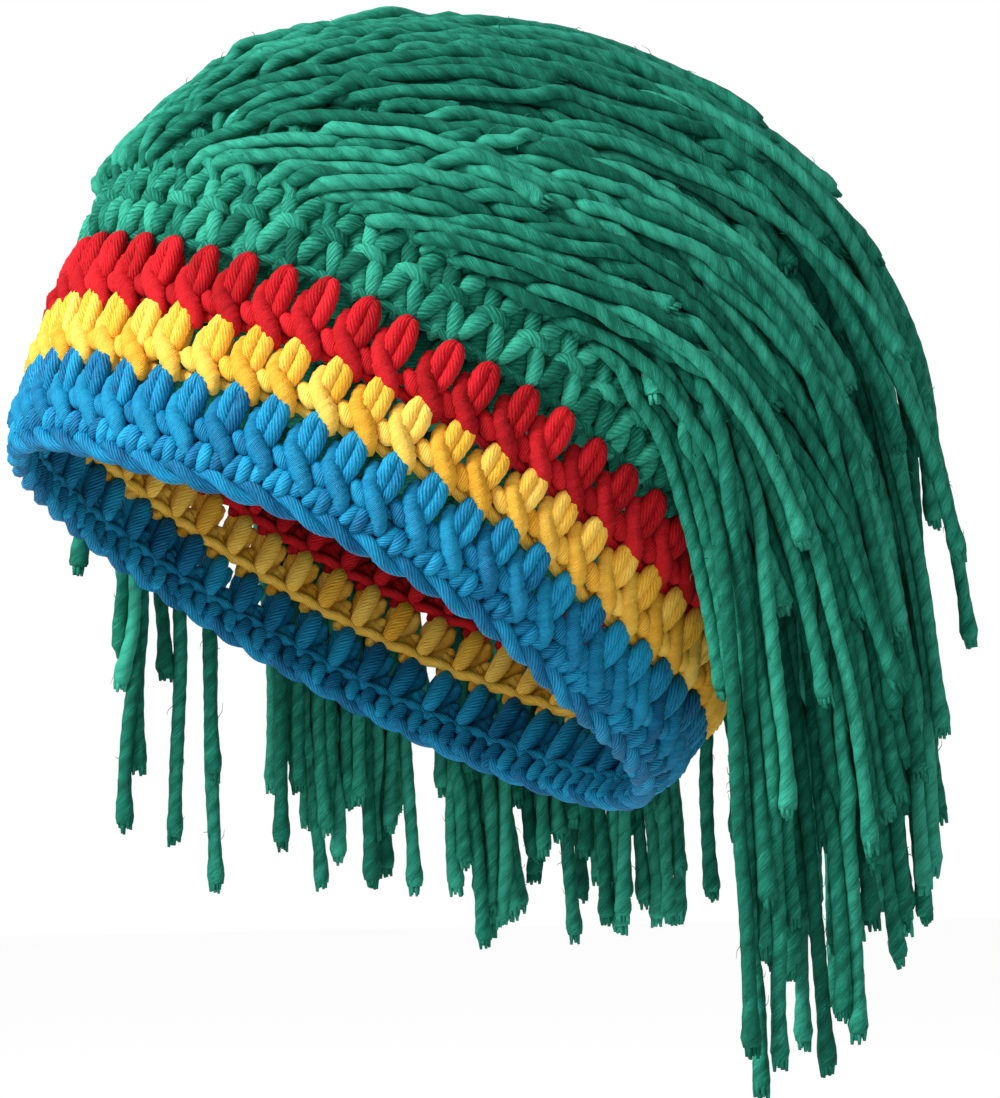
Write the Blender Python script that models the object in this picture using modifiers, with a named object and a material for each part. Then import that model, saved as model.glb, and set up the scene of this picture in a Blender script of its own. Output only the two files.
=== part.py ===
"""Crocheted tam with a yarn mane, held the way a tipped head holds it.

Three coloured bands of tall crochet posts carry a green crown, and a mane of yarn
locks is rooted on the crown. The origin is the middle of the rim opening, +Z is up,
the wearer faces -Y and the wearer's left is +X. All lengths are in metres.
"""
import math

import bmesh
import bpy
import numpy as np
from mathutils import Matrix, Vector

# The hat's own frame leans back: its front is up and its nape is down.
HAT_PITCH = math.radians(29.3)

# Oval outer wall: half of its front-to-back length at each height above the rim.
WIDTH_RATIO = 0.82
WALL_HEIGHT = (0.000, 0.020, 0.040, 0.063, 0.075)
WALL_HALF_LENGTH = (0.101, 0.105, 0.1085, 0.1115, 0.112)
DOME_BASE = WALL_HEIGHT[-1]
DOME_HALF_LENGTH = WALL_HALF_LENGTH[-1]
DOME_RISE = 0.103

# Crochet stitches: the post's width is a share of the stitch, its lean is in stitches.
STITCHES = 54
POST_WIDTH = 0.76
LEAN = -0.06
ROW_GAP = 0.0006
FOOT_SHIFT = 0.02
BAND_THICKNESS = 0.0052
CROWN_THICKNESS = 0.0045
OPEN_SIDE = 0.396
FOOT_DEPTH = 0.0007
TIP_RELIEF = 0.0008

# Where each row ends: the notch between two post tips, and the tips themselves. The
# slots between posts stop short of both ends, at two shares of the row's lean.
BLUE_START = 0.0125
BLUE_END = (0.0230, 0.0285)
YELLOW_END = (0.0395, 0.0450)
RED_END = (0.0555, 0.0610)
SLOT_MARGIN = 0.002
SLOT_SHARES = (0.2, 0.8)

# The rim below the blue posts: height and relief of its chain, groove and low row.
RIM_SECTIONS = (
    (0.0000, -0.0012),
    (0.0027, 0.0008),
    (0.0055, -0.0008),
    (0.0090, 0.0004),
)

# Bare crown rows above the red band, then the dome: height and relief.
CROWN_ROWS = ((0.072, 0.0008), (0.081, -0.0008), (0.090, 0.0004))
DOME_HEIGHTS = (0.102, 0.117, 0.132, 0.146, 0.158, 0.168, 0.175)
CROWN_TOP = DOME_BASE + DOME_RISE

# Mane: locks rooted along the hairline, combed off it and then hanging.
LOCKS = 28
LOCK_LEVELS = 13
FUSED_LEVELS = 7
FUSED_RUN = 0.45
MARCH_STEP = 0.003
ROOT_HEIGHT = 0.083
SEAT = 0.0026
ROOT_THICKNESS = 0.0035
LOCK_THICKNESS = 0.0100
NAPE_THICKNESS = 0.0300
THICKENING_RUN = 0.280
RIDGE = 0.0016
TIP_WIDTH = 0.35
UNEVEN_TIPS = (0.004, -0.006, 0.010, -0.008, 0.000)

# One row for each station along the hairline, from the far temple round to the near
# side. The root angle is in degrees from the brow towards the wearer's left. The lock
# is combed from there towards the world place where it hangs, and sweep is how far from
# that place it starts to fall. Tip is the height of its end, nape is how much of the
# thick back part it has, and width is its share of the room beside its neighbours.
HAIRLINE = (
    # root_angle, hang_x, hang_y, sweep, tip, nape, width
    (-41.0, -0.068, -0.050, 0.080, -0.012, 0.0, 0.35),
    (-38.0, -0.090, -0.014, 0.080, -0.062, 0.0, 0.55),
    (-35.0, -0.102, 0.024, 0.080, -0.062, 0.0, 0.75),
    (-31.0, -0.108, 0.064, 0.080, -0.090, 0.1, 0.95),
    (-25.0, -0.103, 0.106, 0.080, -0.110, 0.4, 1.00),
    (-17.0, -0.080, 0.142, 0.080, -0.116, 0.8, 1.00),
    (-7.0, -0.045, 0.166, 0.090, -0.120, 1.0, 1.00),
    (6.0, 0.000, 0.178, 0.090, -0.122, 1.0, 1.00),
    (22.0, 0.045, 0.176, 0.090, -0.122, 1.0, 1.00),
    (42.0, 0.084, 0.154, 0.100, -0.118, 0.8, 1.00),
    (66.0, 0.104, 0.118, 0.120, -0.112, 0.3, 1.00),
    (88.0, 0.104, 0.080, 0.120, -0.088, 0.0, 0.90),
)

UP = Vector((0.0, 0.0, 1.0))
TILT = Matrix.Rotation(-HAT_PITCH, 4, "X")
UNTILT = TILT.inverted()

COLOURS = {
    "blue_band": ((0.006, 0.190, 0.400), 0.75),
    "yellow_band": ((0.800, 0.400, 0.040), 0.90),
    "red_band": ((0.600, 0.012, 0.020), 0.90),
    "crown": ((0.008, 0.150, 0.085), 0.95),
    "yarn_mane": ((0.007, 0.130, 0.072), 0.95),
}


def clear_scene():
    for item in list(bpy.data.objects):
        bpy.data.objects.remove(item, do_unlink=True)


def new_collection(name):
    group = bpy.data.collections.new(name)
    bpy.context.scene.collection.children.link(group)
    return group


def yarn_material(name):
    colour, roughness = COLOURS[name]
    material = bpy.data.materials.new(name + "_yarn")
    material.use_nodes = True
    shader = material.node_tree.nodes["Principled BSDF"]
    shader.inputs["Base Color"].default_value = (*colour, 1.0)
    shader.inputs["Roughness"].default_value = roughness
    shader.inputs["Metallic"].default_value = 0.0
    return material


def half_length(height):
    """Half of the outer wall's length at a height above the rim plane."""
    if height <= DOME_BASE:
        return float(np.interp(height, WALL_HEIGHT, WALL_HALF_LENGTH))
    rise = min((height - DOME_BASE) / DOME_RISE, 1.0)
    return DOME_HALF_LENGTH * math.sqrt(1.0 - rise * rise)


def equal_stitch_angles(samples=720):
    """Angle round the oval against the share of its circumference, from the front."""
    angles = np.linspace(0.0, 2.0 * math.pi, samples + 1)
    oval = np.column_stack((WIDTH_RATIO * np.sin(angles), -np.cos(angles)))
    steps = np.linalg.norm(np.diff(oval, axis=0), axis=1)
    share = np.concatenate(([0.0], np.cumsum(steps)))
    return angles, share / share[-1]


ANGLES, SHARES = equal_stitch_angles()


def stitch_angle(stitch):
    turns, share = divmod(stitch / STITCHES, 1.0)
    return float(np.interp(share, SHARES, ANGLES)) + 2.0 * math.pi * turns


def wall_point(stitch, height, relief):
    """Point of the outer wall, in the hat's own frame, counted in stitches from the front."""
    angle = stitch_angle(stitch)
    length = half_length(height)
    across = math.sin(angle)
    along = -math.cos(angle)
    outward = Vector((across, along * WIDTH_RATIO, 0.0)).normalized()
    return Vector((length * WIDTH_RATIO * across, length * along, height)) + outward * relief


def plain_ring(bm, height, relief, shift, count=STITCHES):
    step = STITCHES / count
    return [bm.verts.new(wall_point(i * step + shift, height, relief)) for i in range(count)]


def post_ring(bm, notch, tip, relief, shift):
    """Two points for each stitch: its low left edge and its high right edge."""
    ring = []
    for stitch in range(STITCHES):
        left = stitch + shift
        ring.append(bm.verts.new(wall_point(left, notch, relief)))
        ring.append(bm.verts.new(wall_point(left + POST_WIDTH, tip, relief)))
    return ring


def bridge(bm, lower, upper, is_open=None):
    """Faces between two rings, where one ring may have twice the points of the other."""
    count = min(len(lower), len(upper))
    for i in range(count):
        after = (i + 1) % count
        if len(lower) == len(upper):
            corners = [lower[i], lower[after], upper[after], upper[i]]
        elif len(lower) > len(upper):
            corners = [lower[2 * i], lower[2 * i + 1], lower[2 * after], upper[after], upper[i]]
        else:
            corners = [lower[i], lower[after], upper[2 * after], upper[2 * i + 1], upper[2 * i]]
        if is_open is None or not is_open(i):
            bm.faces.new(corners)


def is_see_through(strip):
    """Gaps between posts are open on both sides of the head, and shut at front and nape."""
    stitch, edge = divmod(strip, 2)
    return edge == 1 and abs(math.sin(stitch_angle(stitch + 0.5))) > OPEN_SIDE


def add_posts(bm, first_ring, start, end, first_shift):
    """Tall posts from a first ring up to a sawtooth edge, with slots between them."""
    notch, tip = end
    slot = []
    for height, share in zip((start + SLOT_MARGIN, notch - SLOT_MARGIN), SLOT_SHARES):
        relief = -FOOT_DEPTH + (FOOT_DEPTH + TIP_RELIEF) * share
        slot.append(post_ring(bm, height, height, relief, first_shift + LEAN * share))
    crest = post_ring(bm, notch, tip, TIP_RELIEF, first_shift + LEAN)
    bridge(bm, first_ring, slot[0])
    bridge(bm, slot[0], slot[1], is_see_through)
    bridge(bm, slot[1], crest)


def finish_solid(name, bm, group, pivot, thickness, shares=()):
    """Turn an open outer face into a walled solid, as thick as each point's share says."""
    mesh = bpy.data.meshes.new(name)
    bm.to_mesh(mesh)
    bm.free()
    solid = bpy.data.objects.new(name, mesh)
    group.objects.link(solid)
    solid.parent = pivot
    mesh.materials.append(yarn_material(name))
    wall = solid.modifiers.new("wall", "SOLIDIFY")
    wall.thickness = thickness
    wall.offset = -1.0
    wall.use_rim = True
    if shares:
        weights = solid.vertex_groups.new(name="thickness")
        for index, share in enumerate(shares):
            weights.add([index], share, "REPLACE")
        wall.vertex_group = weights.name
        wall.thickness_vertex_group = 0.0
    return solid


def build_blue_band(group, pivot):
    bm = bmesh.new()
    rings = [plain_ring(bm, height, relief, 0.0) for height, relief in RIM_SECTIONS]
    rings.append(post_ring(bm, BLUE_START, BLUE_START, -FOOT_DEPTH, 0.0))
    for lower, upper in zip(rings, rings[1:]):
        bridge(bm, lower, upper)
    add_posts(bm, rings[-1], BLUE_START, BLUE_END, 0.0)
    return finish_solid("blue_band", bm, group, pivot, BAND_THICKNESS)


def build_post_band(name, below, end, shift, group, pivot):
    """A band whose feet follow the sawtooth edge of the row below it."""
    bm = bmesh.new()
    notch, tip = below
    feet = post_ring(bm, notch + ROW_GAP, tip + ROW_GAP, -FOOT_DEPTH, shift + FOOT_SHIFT)
    add_posts(bm, feet, tip, end, shift)
    return finish_solid(name, bm, group, pivot, BAND_THICKNESS)


def build_crown(group, pivot, shift):
    bm = bmesh.new()
    notch, tip = RED_END
    rings = [post_ring(bm, notch + ROW_GAP, tip + ROW_GAP, -FOOT_DEPTH, shift + FOOT_SHIFT)]
    for height, relief in CROWN_ROWS:
        rings.append(plain_ring(bm, height, relief, shift))
    for height in DOME_HEIGHTS:
        rings.append(plain_ring(bm, height, 0.0, shift, STITCHES // 2))
    for lower, upper in zip(rings, rings[1:]):
        bridge(bm, lower, upper)
    apex = bm.verts.new((0.0, 0.0, CROWN_TOP))
    top = rings[-1]
    for i, corner in enumerate(top):
        bm.faces.new((corner, top[(i + 1) % len(top)], apex))
    return finish_solid("crown", bm, group, pivot, CROWN_THICKNESS)


def smooth_share(value):
    value = min(max(value, 0.0), 1.0)
    return value * value * (3.0 - 2.0 * value)


def push_clear(point, clearance):
    """Move a world point out to a clearance from the hat, and give the outward normal."""
    local = UNTILT @ point
    length = half_length(min(local.z, DOME_BASE)) + clearance
    width = WIDTH_RATIO * (length - clearance) + clearance
    rise = DOME_RISE + clearance
    above = max(local.z - DOME_BASE, 0.0)
    share = math.sqrt((local.x / width) ** 2 + (local.y / length) ** 2 + (above / rise) ** 2)
    normal = Vector((local.x / width ** 2, local.y / length ** 2, above / rise ** 2))
    normal = (TILT.to_3x3() @ normal).normalized()
    if share >= 1.0 or local.z < 0.0:
        return point, None
    local.x /= share
    local.y /= share
    if above > 0.0:
        local.z = DOME_BASE + above / share
    return TILT @ local, normal


def lock_thickness(run, nape):
    full = LOCK_THICKNESS + (NAPE_THICKNESS - LOCK_THICKNESS) * nape
    return ROOT_THICKNESS + (full - ROOT_THICKNESS) * smooth_share(run / THICKENING_RUN)


def drape_lock(root_angle, hang, sweep, tip, nape, lift):
    """Path of a lock's outer face: from its root, over the crown, then hanging."""
    length = half_length(ROOT_HEIGHT)
    across = WIDTH_RATIO * length * math.sin(math.radians(root_angle))
    along = -length * math.cos(math.radians(root_angle))
    root = TILT @ Vector((across, along, ROOT_HEIGHT))
    point, normal = push_clear(root, SEAT + ROOT_THICKNESS + lift)
    path = [point.copy()]
    runs = [0.0]
    while point.z > tip:
        run = runs[-1]
        ahead = Vector((hang[0] - point.x, hang[1] - point.y, 0.0))
        direction = (-UP).lerp(ahead.normalized(), smooth_share(ahead.length / sweep))
        if normal is not None:
            direction -= normal * direction.dot(normal)
        point = point + direction.normalized() * MARCH_STEP
        clearance = SEAT + lock_thickness(run, nape) + lift
        point, normal = push_clear(point, clearance)
        path.append(point.copy())
        runs.append(run + MARCH_STEP)
    return np.array(path), np.array(runs)


def sample_lock(path, runs):
    """Points at the lock's levels, closer where it is fused, and the run to each level."""
    shares = np.concatenate((
        np.linspace(0.0, FUSED_RUN, FUSED_LEVELS),
        np.linspace(FUSED_RUN, 1.0, LOCK_LEVELS - FUSED_LEVELS + 1)[1:],
    ))
    levels = runs[-1] * shares
    points = np.column_stack([np.interp(levels, runs, path[:, axis]) for axis in range(3)])
    return points, levels


def hairline_rows(count):
    """The hairline table read off at even places, one row for each column of points."""
    table = np.array(HAIRLINE)
    stations = np.linspace(0.0, 1.0, len(table))
    places = np.linspace(0.0, 1.0, count)
    return np.column_stack([np.interp(places, stations, column) for column in table.T])


def build_mane(group):
    """Locks fused edge to edge into a backing on the crown, with free ends below it."""
    bm = bmesh.new()
    columns = []
    widths = []
    napes = []
    thickness = []
    for index, row in enumerate(hairline_rows(2 * LOCKS + 1)):
        root_angle, hang_x, hang_y, sweep, tip, nape, width = row
        uneven = UNEVEN_TIPS[(index // 2) % len(UNEVEN_TIPS)]
        lift = RIDGE if index % 2 else 0.0
        hang = (hang_x, hang_y)
        path, runs = drape_lock(root_angle, hang, sweep, tip + uneven, nape, lift)
        columns.append(sample_lock(path, runs))
        widths.append(width)
        napes.append(nape)

    def add_point(position, run, nape):
        thickness.append(lock_thickness(run, nape) / NAPE_THICKNESS)
        return bm.verts.new(position)

    fused = [
        [add_point(points[level], runs[level], nape) for level in range(FUSED_LEVELS)]
        for (points, runs), nape in zip(columns, napes)
    ]
    for lock in range(LOCKS):
        middle = 2 * lock + 1
        points, runs = columns[middle]
        strip = []
        for side in (middle - 1, middle, middle + 1):
            edge_points = columns[side][0]
            edge = list(fused[side])
            for level in range(FUSED_LEVELS, LOCK_LEVELS):
                loose = (level - FUSED_LEVELS + 1) / (LOCK_LEVELS - FUSED_LEVELS)
                spread = widths[middle] * (1.0 - (1.0 - TIP_WIDTH) * loose)
                offset = (edge_points[level] - points[level]) * spread
                edge.append(add_point(points[level] + offset, runs[level], napes[middle]))
            strip.append(edge)
        for left, right in zip(strip, strip[1:]):
            for level in range(LOCK_LEVELS - 1):
                bm.faces.new((left[level], right[level], right[level + 1], left[level + 1]))
    return finish_solid("yarn_mane", bm, group, None, NAPE_THICKNESS, thickness)


def build_tam():
    clear_scene()
    group = new_collection("rasta_tam")
    pivot = bpy.data.objects.new("hat_lean", None)
    pivot.matrix_world = TILT
    group.objects.link(pivot)
    build_blue_band(group, pivot)
    build_post_band("yellow_band", BLUE_END, YELLOW_END, LEAN, group, pivot)
    build_post_band("red_band", YELLOW_END, RED_END, 2.0 * LEAN, group, pivot)
    build_crown(group, pivot, 3.0 * LEAN)
    build_mane(group)


build_tam()
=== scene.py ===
"""The look of the crocheted tam: yarn stitches, a twisted rim and a mane of yarn strands.

Every stitch and strand is a swept tube of yarn laid on the same oval wall and dome as the
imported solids. All lengths are in metres unless a name ends in _MM, +Z is up, the wearer
faces -Y and the wearer's left is +X.
"""

import math

import bpy
import numpy as np
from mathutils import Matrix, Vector


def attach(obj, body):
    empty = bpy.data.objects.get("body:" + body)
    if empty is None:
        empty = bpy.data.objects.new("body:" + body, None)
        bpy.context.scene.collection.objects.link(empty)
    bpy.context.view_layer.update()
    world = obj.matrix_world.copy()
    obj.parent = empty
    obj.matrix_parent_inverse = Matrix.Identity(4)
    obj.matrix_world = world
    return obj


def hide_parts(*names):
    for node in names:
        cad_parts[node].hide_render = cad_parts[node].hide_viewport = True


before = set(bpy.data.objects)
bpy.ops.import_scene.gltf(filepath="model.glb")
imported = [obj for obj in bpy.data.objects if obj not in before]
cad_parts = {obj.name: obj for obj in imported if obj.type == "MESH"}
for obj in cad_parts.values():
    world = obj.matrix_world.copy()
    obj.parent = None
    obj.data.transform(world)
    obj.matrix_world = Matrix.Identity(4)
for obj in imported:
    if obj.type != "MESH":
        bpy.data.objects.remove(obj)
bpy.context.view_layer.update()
MM = 0.001

# The hat's own frame leans back: its front is up and its nape is down.
HAT_PITCH = math.radians(29.3)
TILT = np.array((
    (1.0, 0.0, 0.0),
    (0.0, math.cos(HAT_PITCH), math.sin(HAT_PITCH)),
    (0.0, -math.sin(HAT_PITCH), math.cos(HAT_PITCH)),
))

# The oval wall is that of the solids. The dome is 4 mm lower than theirs and leans back.
WIDTH_RATIO = 0.82
WALL_HEIGHT = (0.000, 0.020, 0.040, 0.063, 0.075)
WALL_HALF_LENGTH = (0.101, 0.105, 0.1085, 0.1115, 0.112)
DOME_BASE = WALL_HEIGHT[-1]
DOME_HALF_LENGTH = WALL_HALF_LENGTH[-1]
DOME_RISE = 0.099
DOME_SHIFT = 0.007
STITCHES = 54
STITCH_MM = 11.3

# The rows bow up over the wearer's left ear and sag a little over the right one.
BOW_WIDTH = 5.0
SAG_MIDDLE = 43.0
SAG_WIDTH = 9.0
BOW = (
    # height, middle stitch and rise on the left, drop on the right
    (0.000, 11.6, 0.0048, 0.0000),
    (0.0285, 10.6, 0.0050, 0.0040),
    (0.045, 10.0, 0.0034, 0.0062),
    (0.061, 9.7, 0.0042, 0.0066),
    (0.085, 9.7, 0.0030, 0.0040),
    (0.120, 9.7, 0.0000, 0.0000),
)

# Height of the post tips in each row, and how far below them the row's own feet begin.
BLUE_TIP = 0.0285
YELLOW_TIP = 0.0450
RED_TIP = 0.0610
POST_DEPTH_MM = 19.6
LEAN_PER_ROW = -0.06

# One tall crochet stitch. Each yarn is a row of points: right, up, out and radius, in
# millimetres from the bottom of the stitch's foot, with the wall's surface at 0 out.
LEFT_PLY_MM = (
    (-5.6, 5.2, -1.4, 1.50),
    (-6.2, 8.4, -0.1, 2.05),
    (-6.5, 11.8, 0.4, 2.25),
    (-6.3, 14.8, 0.2, 2.15),
    (-5.3, 17.0, -0.4, 1.90),
    (-4.2, 17.4, -1.4, 1.40),
)
RIGHT_PLY_MM = (
    (-4.2, 3.6, -1.6, 1.40),
    (-3.4, 6.6, -0.3, 2.00),
    (-3.0, 10.2, 0.3, 2.25),
    (-3.1, 13.6, 0.3, 2.20),
    (-3.9, 16.6, -0.2, 1.95),
    (-4.9, 17.6, -1.2, 1.45),
)
BODY_MM = (
    (-8.9, 14.0, -2.6, 1.20),
    (-9.2, 11.6, -1.3, 1.95),
    (-8.8, 8.8, -0.3, 2.35),
    (-7.6, 6.2, 0.3, 2.60),
    (-5.8, 4.2, 0.6, 2.75),
    (-3.9, 2.6, 0.5, 2.75),
    (-2.2, 1.0, 0.1, 2.55),
    (-1.1, -0.9, -0.7, 2.10),
    (-0.7, -2.8, -2.0, 1.30),
)
BEAD_MM = (
    (-12.4, 7.4, -2.8, 1.20),
    (-11.7, 5.8, -1.2, 1.95),
    (-10.4, 4.3, -0.4, 2.35),
    (-8.6, 3.0, -0.4, 2.20),
    (-6.8, 2.0, -1.2, 1.50),
)
LINK_MM = (
    (-3.2, 2.8, -1.6, 1.40),
    (-1.4, 3.4, -1.5, 1.60),
    (0.2, 4.4, -1.9, 1.60),
    (1.2, 5.6, -2.8, 1.20),
)
BACK_MM = (
    (-4.6, -0.6, -3.4, 1.40),
    (-5.0, 3.2, -3.6, 2.50),
    (-5.2, 8.0, -3.7, 2.90),
    (-5.2, 12.6, -3.7, 2.80),
    (-5.0, 17.0, -3.5, 1.70),
)
POST_YARNS = (
    # points, rings, sides, streak turn in radians per millimetre, ridge depth
    (LEFT_PLY_MM, 14, 8, -0.30, 0.04),
    (RIGHT_PLY_MM, 14, 8, -0.30, 0.04),
    (BODY_MM, 24, 8, 1.30, 0.09),
    (BEAD_MM, 9, 8, 0.80, 0.00),
    (LINK_MM, 6, 6, 0.50, 0.00),
    (BACK_MM, 7, 8, 0.40, 0.00),
)
RIDGE_PITCH_MM = 2.1

# The low row of the blue band: three strands in front and two behind at each stitch.
LOW_BEADS_MM = (
    ((-10.6, 3.6, -2.6, 1.20), (-10.0, 5.6, -0.9, 1.75), (-8.6, 8.4, -0.7, 1.85),
     (-7.8, 10.8, -2.2, 1.20)),
    ((-7.0, 3.2, -2.6, 1.20), (-6.2, 5.4, -0.6, 1.95), (-6.3, 8.0, -0.3, 2.05),
     (-7.0, 10.8, -2.0, 1.30)),
    ((-3.8, 4.2, -3.0, 1.20), (-2.9, 6.0, -1.1, 1.85), (-2.4, 8.4, -1.0, 1.90),
     (-1.6, 10.8, -2.6, 1.20)),
    ((-9.0, 0.6, -4.0, 1.60), (-8.8, 5.0, -3.6, 2.40), (-8.8, 9.6, -3.8, 1.70)),
    ((-3.6, 0.6, -4.0, 1.60), (-3.2, 5.0, -3.6, 2.40), (-3.2, 9.6, -3.8, 1.70)),
)
ROPE_TURNS = STITCHES // 2
ROPE_HEIGHT_MM = 2.6
ROPE_OFFSET_MM = 1.50
ROPE_RADIUS_MM = 1.95
CHAIN_RADIUS_MM = 1.60

# Green rows of the crown: the first one's height, and their step along the dome.
CROWN_START = 0.0655
CROWN_ROW_STEP = 0.0112
CROWN_LAST_TURN = 1.50
OPEN_CROWN_ROWS = 5
CROWN_YARNS_MM = (
    ((-5.6, -5.4, -2.6, 1.50), (-4.6, -1.6, -0.8, 2.40), (-2.6, 2.4, -0.4, 2.60),
     (-0.4, 5.8, -2.2, 1.70)),
    ((4.8, -6.4, -2.8, 1.50), (3.8, -2.4, -1.0, 2.30), (2.4, 1.6, -0.7, 2.45),
     (0.6, 5.2, -2.2, 1.70)),
    ((-0.2, -7.4, -4.2, 2.20), (-0.4, 0.0, -4.4, 3.70), (-0.2, 7.4, -4.2, 2.20)),
    ((5.4, -7.4, -4.2, 2.10), (5.4, 0.0, -4.4, 3.30), (5.4, 7.4, -4.2, 2.10)),
    ((-5.4, 3.2, -2.8, 1.30), (-2.6, 5.2, -0.5, 2.20), (1.0, 5.6, -0.2, 2.35),
     (4.4, 4.0, -1.8, 1.70)),
)

# Yarn knots that carry the mane: height of each row, and knots round.
KNOT_ROWS = (
    (0.079, 54), (0.096, 46), (0.113, 40), (0.131, 34), (0.150, 24), (0.164, 10),
)
KNOT_MM = (
    (-4.6, -2.2, -2.6, 1.30),
    (-4.0, 0.4, 0.6, 1.80),
    (-2.0, 2.6, 1.8, 1.95),
    (0.6, 3.0, 2.0, 1.95),
    (3.0, 1.6, 1.4, 1.90),
    (4.4, -0.8, -0.2, 1.70),
    (4.6, -2.8, -2.6, 1.20),
)

# Mane strands: sizes, and how a strand leaves its knot and rises over the others.
STRAND_RADIUS = 0.00205
STRAND_LENGTH = 0.202
STRAND_LENGTH_SPREAD = 0.028
MARCH_STEPS = 58
STRAND_RINGS = 84
TWIST_PITCH = 0.0120
PLY_DEPTH = 0.05
ROOT_SPREAD_MM = 2.3
SEAT = 0.0024
CURL_HEIGHT = 0.0008
CURL_RUN = 0.007
STIFFNESS = 0.80
NAPE_STIFFNESS = 0.06
DROOP = 0.34
ROOT_DEPTH = 0.0012
LOCK_DEPTH = 0.0100
NAPE_DEPTH = 0.0260
THICKENING_RUN = 0.290
FRONT_EDGE = -0.062
LAYER_REACH = 0.24
LAYER_LIFT = 0.090
FLARE = 0.65
BACK_LIMIT = 0.178
RELAX_ROUNDS = 14
FRAY_HAIRS = 8
STRAY_HAIRS = 16
STRAY_RADIUS = 0.00010
TIP_SPREAD = 0.024

# Some strands of the back and the near side are short, and lie on top of the others.
SHORT_SHARE = 0.52
SHORT_LIFT = (0.020, 0.210)
SHORT_ANGLE = 50.0
LAST_SHORT_ANGLE = 150.0
BACK_ANGLE = 115.0
BACK_LOFT = 1.6

# Where the yarn hangs for each root angle from the brow towards the wearer's left, how far
# from there it starts to fall, the height of its lowest ends, and how much of it tapers in.
HAIRLINE = (
    # root_angle, hang_x, hang_y, sweep, tip, nape
    (-180.0, 0.000, 0.184, 0.110, -0.078, 0.9),
    (-150.0, -0.055, 0.170, 0.100, -0.098, 0.7),
    (-120.0, -0.096, 0.122, 0.080, -0.090, 0.3),
    (-90.0, -0.104, 0.086, 0.080, -0.086, 0.0),
    (-65.0, -0.103, 0.054, 0.080, -0.074, 0.0),
    (-52.0, -0.098, 0.018, 0.080, -0.066, 0.0),
    (-43.0, -0.074, -0.044, 0.080, -0.012, 0.0),
    (-38.0, -0.090, -0.014, 0.080, -0.056, 0.0),
    (-35.0, -0.102, 0.024, 0.080, -0.072, 0.0),
    (-31.0, -0.108, 0.064, 0.080, -0.076, 0.1),
    (-25.0, -0.103, 0.110, 0.090, -0.096, 0.4),
    (-17.0, -0.080, 0.150, 0.120, -0.106, 0.8),
    (-7.0, -0.045, 0.182, 0.140, -0.104, 1.0),
    (6.0, 0.000, 0.198, 0.150, -0.078, 1.0),
    (22.0, 0.045, 0.196, 0.150, -0.066, 1.0),
    (42.0, 0.084, 0.178, 0.140, -0.070, 0.9),
    (66.0, 0.099, 0.140, 0.120, -0.104, 0.6),
    (88.0, 0.099, 0.089, 0.095, -0.130, 0.1),
    (110.0, 0.099, 0.116, 0.085, -0.122, 0.4),
    (135.0, 0.084, 0.154, 0.110, -0.086, 0.7),
    (160.0, 0.040, 0.180, 0.120, -0.076, 0.9),
    (180.0, 0.000, 0.184, 0.110, -0.078, 0.9),
)
TAPER = 0.05
HAIRLINE_FRONT = (-43.0, 88.0)
FAR_SIDE = (-110.0, -36.0)
FAR_SIDE_SHARE = 0.6

rng = np.random.default_rng(29)


def unit(vectors):
    return vectors / np.maximum(np.linalg.norm(vectors, axis=-1, keepdims=True), 1e-12)


def smooth_share(value):
    value = np.clip(value, 0.0, 1.0)
    return value * value * (3.0 - 2.0 * value)


def half_length(height):
    """Half of the outer wall's length at each height above the rim plane."""
    rise = np.clip((height - DOME_BASE) / DOME_RISE, 0.0, 0.999)
    dome = DOME_HALF_LENGTH * np.sqrt(1.0 - rise * rise)
    return np.where(height <= DOME_BASE, np.interp(height, WALL_HEIGHT, WALL_HALF_LENGTH), dome)


def dome_shift(height):
    """How far the dome leans back at each height."""
    return DOME_SHIFT * np.clip((height - DOME_BASE) / DOME_RISE, 0.0, 1.0)


def equal_stitch_angles(samples=720):
    """Angle round the oval against the share of its circumference, from the front."""
    angles = np.linspace(0.0, 2.0 * math.pi, samples + 1)
    oval = np.column_stack((WIDTH_RATIO * np.sin(angles), -np.cos(angles)))
    steps = np.linalg.norm(np.diff(oval, axis=0), axis=1)
    share = np.concatenate(([0.0], np.cumsum(steps)))
    return angles, share / share[-1]


ANGLES, SHARES = equal_stitch_angles()


def stitch_angle(stitch):
    share = stitch / STITCHES
    return np.interp(share % 1.0, SHARES, ANGLES)


def place_on_hat(stitch, height, relief):
    """World points on the hat, counted in stitches from the front, and their normals."""
    angle = stitch_angle(stitch)
    level, *shape = np.transpose(BOW)
    middle, rise, drop = (np.interp(height, level, column) for column in shape)
    height = height + rise * np.exp(-((stitch - middle) / BOW_WIDTH) ** 4)
    height = height - drop * np.exp(-((stitch - SAG_MIDDLE) / SAG_WIDTH) ** 4)
    length = half_length(height)
    local = np.stack((length * WIDTH_RATIO * np.sin(angle), -length * np.cos(angle), height), axis=-1)
    above = np.maximum(height - DOME_BASE, 0.0)
    low = half_length(np.minimum(height, DOME_BASE))
    normal = unit(np.stack((
        local[..., 0] / (WIDTH_RATIO * low) ** 2,
        local[..., 1] / low ** 2,
        above / DOME_RISE ** 2,
    ), axis=-1))
    local[..., 1] += dome_shift(height)
    return (local + normal * relief[..., None]) @ TILT.T, normal @ TILT.T


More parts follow.
